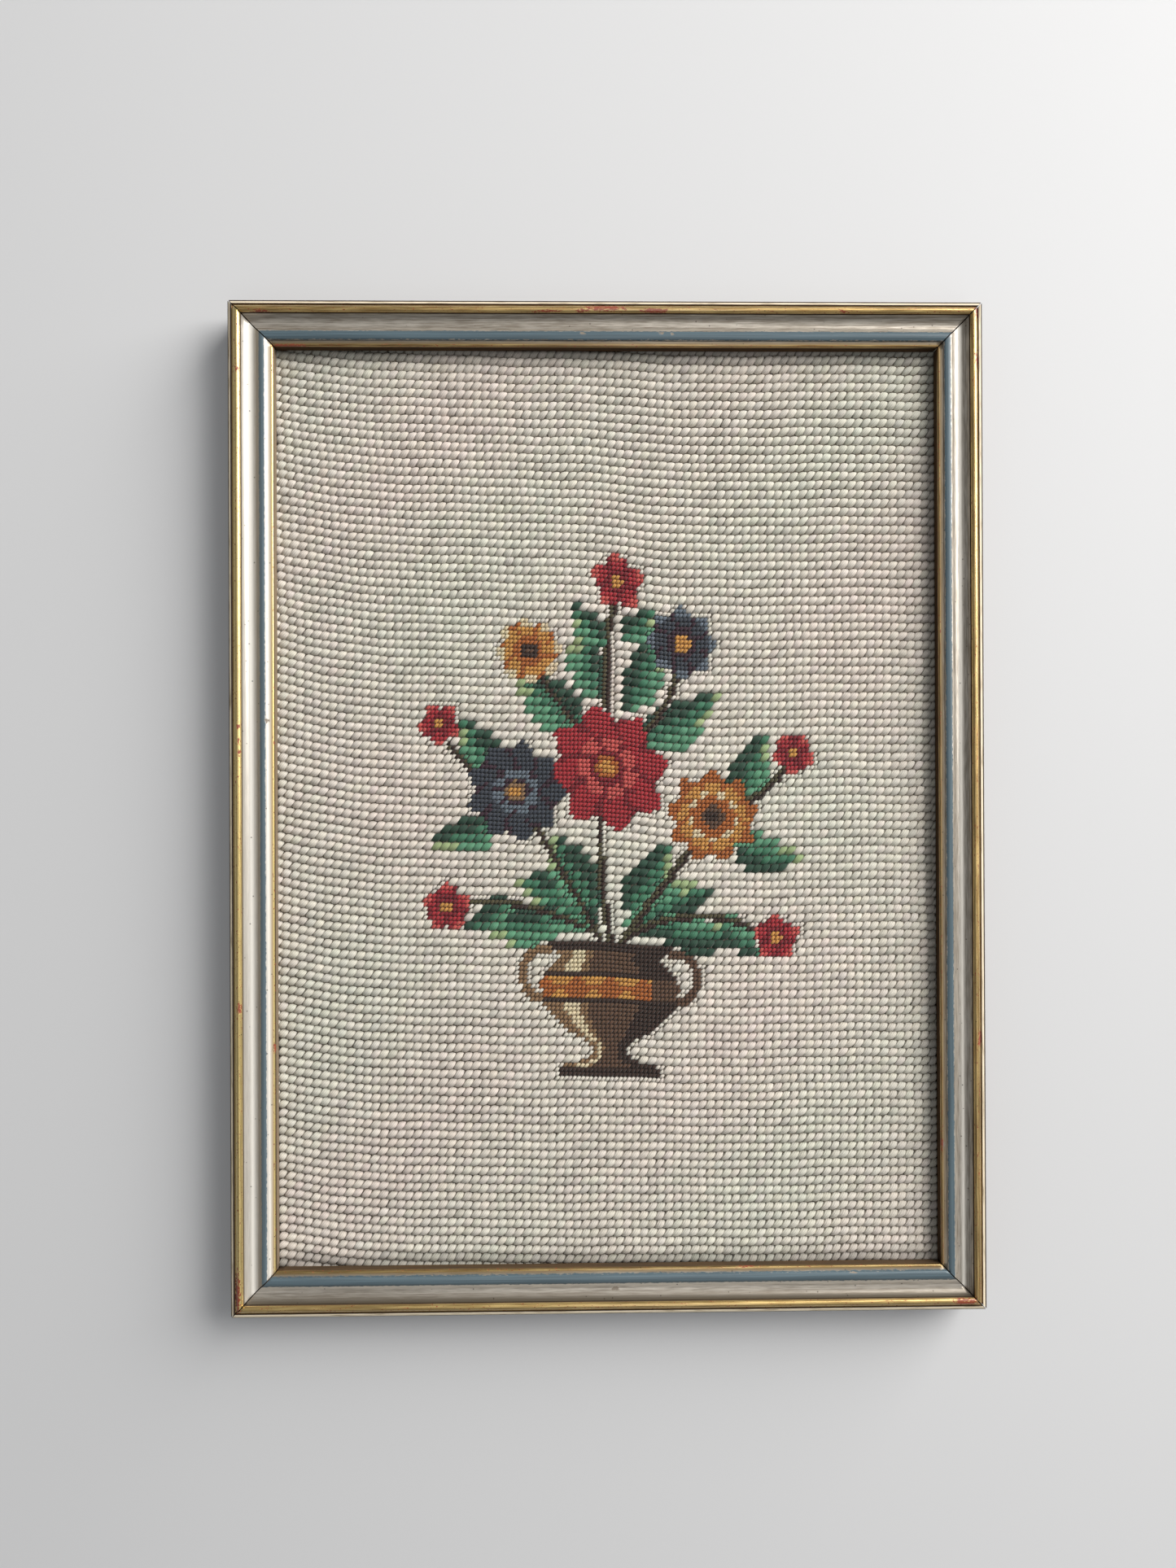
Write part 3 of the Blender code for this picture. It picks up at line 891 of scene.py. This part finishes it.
cream_gesso, tree, shader = finish("cream_washed_gesso")
run = node(tree, "ShaderNodeAttribute", attribute_name="run").outputs["Vector"]
dirt = along_grain(tree, run, 7 * MM, 0.6 * MM)
darkened = node(tree, "ShaderNodeMapRange", {"Value": dirt, "From Min": 0.5, "From Max": 0.75})
creamy = node(
    tree, "ShaderNodeMix", {0: darkened, 6: linear("#F1E2C6"), 7: linear("#A08C6A")}, data_type="RGBA",
)
# The rim attribute is 0 where the cream begins and 1 where it ends.
rim = node(tree, "ShaderNodeAttribute", attribute_name="rim").outputs["Fac"]
corner = node(
    tree, "ShaderNodeMapRange",
    {"Value": rim, "From Min": -RIM_BLEND, "From Max": RIM_BLEND, "To Min": 1.0, "To Max": 0.0},
)
inner_edge = node(
    tree, "ShaderNodeMapRange", {"Value": rim, "From Min": 1 - RIM_BLEND, "From Max": 1 + RIM_BLEND},
)
edges = node(tree, "ShaderNodeMath", {0: corner, 1: inner_edge}, operation="MAXIMUM")
rimmed = node(tree, "ShaderNodeMix", {0: edges, 6: creamy, 7: linear("#3A2A1C")}, data_type="RGBA")
plug(tree, shader, {"Base Color": rimmed, "Roughness": 0.6})

# Umber stain on the sides of the stick, in its grooves and down the inner edge: dark brown, almost without
# gloss, and painted lighter as painted light where the light falls on the stick.
umber_stain, tree, shader = finish("umber_stained_wood")
run = node(tree, "ShaderNodeAttribute", attribute_name="run").outputs["Vector"]
fibres = along_grain(tree, run, 12 * MM, 0.4 * MM)
grain = node(tree, "ShaderNodeMapRange", {"Value": fibres, "From Min": 0.35, "From Max": 0.65})
stained = node(
    tree, "ShaderNodeMix", {0: grain, 6: linear("#2E1E0F"), 7: linear("#523819")}, data_type="RGBA",
)
painted_light = node(tree, "ShaderNodeAttribute", attribute_name="painted_light").outputs["Fac"]
stain_lightened = node(tree, "ShaderNodeMapRange", {"Value": painted_light, "To Max": 0.55})
lit_stain = node(tree, "ShaderNodeMix", {0: stain_lightened, 6: stained, 7: linear("#A8967F")}, data_type="RGBA")
plug(tree, shader, {"Base Color": lit_stain, "Roughness": 0.7, "Specular IOR Level": 0.2})

# Bare softwood where nothing shows from the front, with its pale and brown year rings as long streaks.
bare_softwood, tree, shader = finish("bare_softwood")
run = node(tree, "ShaderNodeAttribute", attribute_name="run").outputs["Vector"]
rings = along_grain(tree, run, 30 * MM, 0.9 * MM)
grain = node(tree, "ShaderNodeMapRange", {"Value": rings, "From Min": 0.32, "From Max": 0.68})
pale = node(tree, "ShaderNodeMix", {0: grain, 6: linear("#9A7446"), 7: linear("#C7A577")}, data_type="RGBA")
plug(tree, shader, {"Base Color": pale, "Roughness": 0.7})

FINISHES = (gold_leaf, silver_leaf, cream_gesso, umber_stain, bare_softwood)
GOLD, SILVER, CREAM, STAIN, WOOD = range(len(FINISHES))

# Places where the surface is rubbed or chipped: middle across and up, half width, half height, in mm.
WORN_SPOTS = (
    (-108.6, -140.7, 1.0, 6.2), (104.1, -145.4, 3.6, 1.0), (108.9, 145.3, 1.0, 2.6),
    (108.9, 131.0, 0.9, 2.3), (108.9, -68.4, 0.9, 2.4), (-0.5, 145.9, 6.2, 1.0),
    (-7.5, 145.0, 1.6, 0.5), (13.9, 145.0, 3.8, 0.6), (-17.5, 144.8, 3.6, 0.3),
    (69.2, 145.0, 1.0, 0.5), (-100.8, 144.6, 2.2, 0.35), (-93.0, 135.3, 5.0, 0.5),
    (-107.5, 127.9, 0.7, 0.6), (-107.5, 23.9, 0.7, 0.6), (-107.5, 19.1, 0.7, 0.5),
    (-107.5, 16.2, 0.7, 0.6), (-107.6, -58.0, 0.8, 1.2), (-99.8, 25.5, 0.5, 0.8),
    (-7.2, 138.9, 0.8, 0.5), (16.0, 139.0, 0.7, 0.5), (19.1, 138.8, 0.7, 0.4),
    (-3.2, 136.8, 1.8, 0.4), (1.2, -141.5, 1.2, 0.6), (-110.0, 147.4, 1.2, 0.9),
    (109.8, -147.2, 1.0, 1.0), (-109.8, -147.4, 1.0, 0.9), (98.1, -100.0, 0.5, 1.4),
    (-98.0, -70.0, 0.5, 1.1), (40.0, -135.2, 2.0, 0.5), (71.3, -137.2, 1.2, 0.2),
)

# Where painted shade and painted light lie across a stick, in mm from its outer edge: the painted shade from
# the bead in and how it thins out, beside the paint and how it sets in, and on the inner slope, and the
# places of painted light.
BEAD_SHADE_FROM = 4
BEAD_SHADE_FADE = 2.95
PAINT_SIDE_SHADE = (7.3, 9.3)
PAINT_SIDE_SHADE_RAMP = 0.8
SLOPE_SHADE_FROM = 11.3
SLOPE_SHADE_RAMP = 0.05
HOLLOW_BOTTOM = 6.3
BAND_SHOULDER = 8.3
LIGHT_SPOT_REACH = 0.6
LIGHT_FROM = 1
LIP_LIGHT_FROM = 11

# A face is past one of the lines above only when its middle is past it by this much.
SLACK = 0.02 * MM
# Rings along a stick, how far the noise of one stick lies from that of the next, what counts as one point,
# and what counts as flat and as a crisp edge.
RING_STEP = 1.0 * MM
STICKS_APART = 1.0
WELD = 0.005 * MM
FLAT_ANGLE = math.radians(1)
CRISP_ANGLE = math.radians(25)


def side_of_stick(inwards, level):
    """Which finish a face has, from its distance in and its height."""
    if level < REBATE_TOP + SLACK:
        return STAIN if inwards < SLACK or inwards > FACE_WIDTH - SLACK else WOOD
    if SLACK < inwards < CREAM_TO - SLACK:
        return CREAM
    if GILT[0] + SLACK < inwards < GILT[1] - SLACK or (inwards > LIP_FROM and level > SIGHT_EDGE):
        return GOLD
    if inwards < HOLLOW_FROM - SLACK or inwards > FACE_WIDTH - SLACK:
        return STAIN
    return SILVER


half_width, half_height = cad_high.x, cad_high.y
# Each stick: the axis that it follows, and the side of the frame that it is on. Then, in mm from its outer
# edge, where its cream rim and its paint each start and end, and how far the painted shade beside its bead
# reaches. Then how deep the painted shade lies beside its bead, beside its paint and on its inner slope, how
# dark the painted shadow line at the foot of its band is, and how much painted light it has: in general, at
# the bottom of the hollow, on the shoulder of the band and on the lip.
for number, (name, axis, side, rim, paint, shade_reach, shade_depths, foot_shadow_depth, light_amounts) in enumerate((
    ("top", 0, 1, (0.45, 1.0), (8.6, 11.25), 8.0, (0.25, 0.0, 0.6), 0.45, (0.15, 0.1, 0.0, 0.0)),
    ("left", 1, -1, (0.25, 0.8), (8.9, 10.5), 6.0, (0.6, 0.68, 0.05), 0.0, (1.0, 0.9, 0.0, 1.45)),
    ("bottom", 0, -1, (0.15, 1.0), (8.6, 11.5), 7.0, (1.05, 0.0, 0.5), 0.0, (0.35, 0.0, 1.0, 0.2)),
    ("right", 1, 1, (0.5, 1.12), (9.25, 11.1), 6.2, (0.25, 0.0, 0.65), 0.1, (0.2, 1.2, 0.0, 0.0)),
)):
    bm = bmesh.new()
    bm.from_mesh(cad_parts["frame_" + name].data)
    bmesh.ops.remove_doubles(bm, verts=bm.verts, dist=WELD)
    bmesh.ops.dissolve_limit(bm, angle_limit=FLAT_ANGLE, verts=bm.verts, edges=bm.edges)
    half_length = (half_width, half_height)[axis]
    long_edges = [e for e in bm.edges if abs(e.verts[0].co[axis] - e.verts[1].co[axis]) > half_length]
    cuts = round(2 * half_length / RING_STEP)
    bmesh.ops.subdivide_edges(bm, edges=long_edges, cuts=cuts, use_grid_fill=True)
    mesh = bpy.data.meshes.new(name + "_moulding")
    places = np.array([v.co for v in bm.verts])
    outer = (half_height, half_width)[axis]
    inwards = outer - side * places[:, 1 - axis]
    for face in bm.faces:
        middle = face.calc_center_median()
        ends = abs(face.normal[axis]) > 0.5
        face.material_index = STAIN if ends else side_of_stick(outer - side * middle[1 - axis], middle.z)
        face.smooth = True
    bm.to_mesh(mesh)
    bm.free()
    mesh.set_sharp_from_angle(angle=CRISP_ANGLE)
    run = np.stack([places[:, axis] + number * STICKS_APART, inwards, places[:, 2]], axis=1)
    mesh.attributes.new("run", "FLOAT_VECTOR", "POINT").data.foreach_set("vector", run.ravel())
    inwards_mm = inwards / MM
    beside_bead = np.clip((shade_reach - inwards_mm) / BEAD_SHADE_FADE, 0, 1)
    beside_paint = np.clip((inwards_mm - PAINT_SIDE_SHADE[0]) / PAINT_SIDE_SHADE_RAMP, 0, 1)
    painted_shade = shade_depths[0] * beside_bead * (inwards_mm > BEAD_SHADE_FROM)
    painted_shade += shade_depths[1] * beside_paint * (inwards_mm < PAINT_SIDE_SHADE[1])
    painted_shade += shade_depths[2] * np.clip((inwards_mm - SLOPE_SHADE_FROM) / SLOPE_SHADE_RAMP, 0, 1)
    painted_light = light_amounts[0] + light_amounts[1] * np.exp(-((inwards_mm - HOLLOW_BOTTOM) / LIGHT_SPOT_REACH) ** 2)
    painted_light += light_amounts[2] * np.exp(-((inwards_mm - BAND_SHOULDER) / LIGHT_SPOT_REACH) ** 2)
    painted_light = np.where(inwards_mm > LIP_LIGHT_FROM, light_amounts[3], painted_light)
    painted_light[inwards_mm < LIGHT_FROM] = 0
    for label, amounts in (
        ("band", (inwards_mm - paint[0]) / (paint[1] - paint[0])),
        ("rim", (inwards_mm - rim[0]) / (rim[1] - rim[0])),
        ("foot_shadow", np.full(len(places), foot_shadow_depth)),
        ("painted_light", painted_light),
        ("painted_shade", painted_shade),
    ):
        mesh.attributes.new(label, "FLOAT", "POINT").data.foreach_set("value", amounts)
    worn = np.zeros(len(places))
    for x, y, half_x, half_y in WORN_SPOTS:
        far = ((places[:, 0] / MM - x) / half_x) ** 2 + ((places[:, 1] / MM - y) / half_y) ** 2
        worn = np.maximum(worn, 1 - far / 2)
    worn[places[:, 2] < SIGHT_EDGE] = 0
    mesh.attributes.new("worn", "FLOAT", "POINT").data.foreach_set("value", worn)
    for material in FINISHES:
        mesh.materials.append(material)
    adopt(name + "_moulding", mesh, "frame_" + name)

# The floor, the light and the camera.
# A pale floor under the frame. A large soft light stands 1.6 m away to the upper right, with a weaker one
# overhead.

FLOOR_SIZE = 6.0
floor_paint, tree, shader = finish("pale_floor_paint")
plug(tree, shader, {"Base Color": linear("#DBDBDC"), "Roughness": 0.8})
bm = bmesh.new()
bmesh.ops.create_grid(bm, x_segments=1, y_segments=1, size=FLOOR_SIZE / 2)
floor_mesh = bpy.data.meshes.new("floor")
bm.to_mesh(floor_mesh)
bm.free()
floor_mesh.materials.append(floor_paint)
floor = bpy.data.objects.new("floor", floor_mesh)
bpy.context.scene.collection.objects.link(floor)


def soft_light(name, direction, distance, size, power):
    """A rectangular area light that faces the picture."""
    lamp = bpy.data.lights.new(name, "AREA")
    lamp.shape = "RECTANGLE"
    lamp.size, lamp.size_y = size
    lamp.energy = power
    lamp.color = (1.0, 0.985, 0.96)
    made = bpy.data.objects.new(name, lamp)
    made.location = Vector(direction).normalized() * distance
    made.rotation_euler = Vector(direction).to_track_quat("Z", "Y").to_euler()
    bpy.context.scene.collection.objects.link(made)


soft_light("window_light", (1, 0.7, 0.69), 1.6, (1.31, 1.45), 44)
soft_light("ceiling_light", (0.1, 0, 1), 1.0, (1.4, 0.2), 1.5)

world = bpy.data.worlds.new("room")
world.use_nodes = True
world.node_tree.nodes["Background"].inputs["Color"].default_value = linear("#E8EDF2")
world.node_tree.nodes["Background"].inputs["Strength"].default_value = 0.22
bpy.context.scene.world = world
bpy.context.scene.view_settings.view_transform = "Standard"

# The camera stands almost square over the picture.
lens = bpy.data.cameras.new("camera")
lens.lens = 27.04
lens.sensor_width = 36
lens.clip_start = 0.01
camera = bpy.data.objects.new("camera", lens)
camera.location = (-0.0122, 0.0062, 0.3583)
camera.rotation_mode = "ZYX"
camera.rotation_euler = [math.radians(a) for a in (0.094, -1.014, -0.232)]
bpy.context.scene.collection.objects.link(camera)
bpy.context.scene.camera = camera
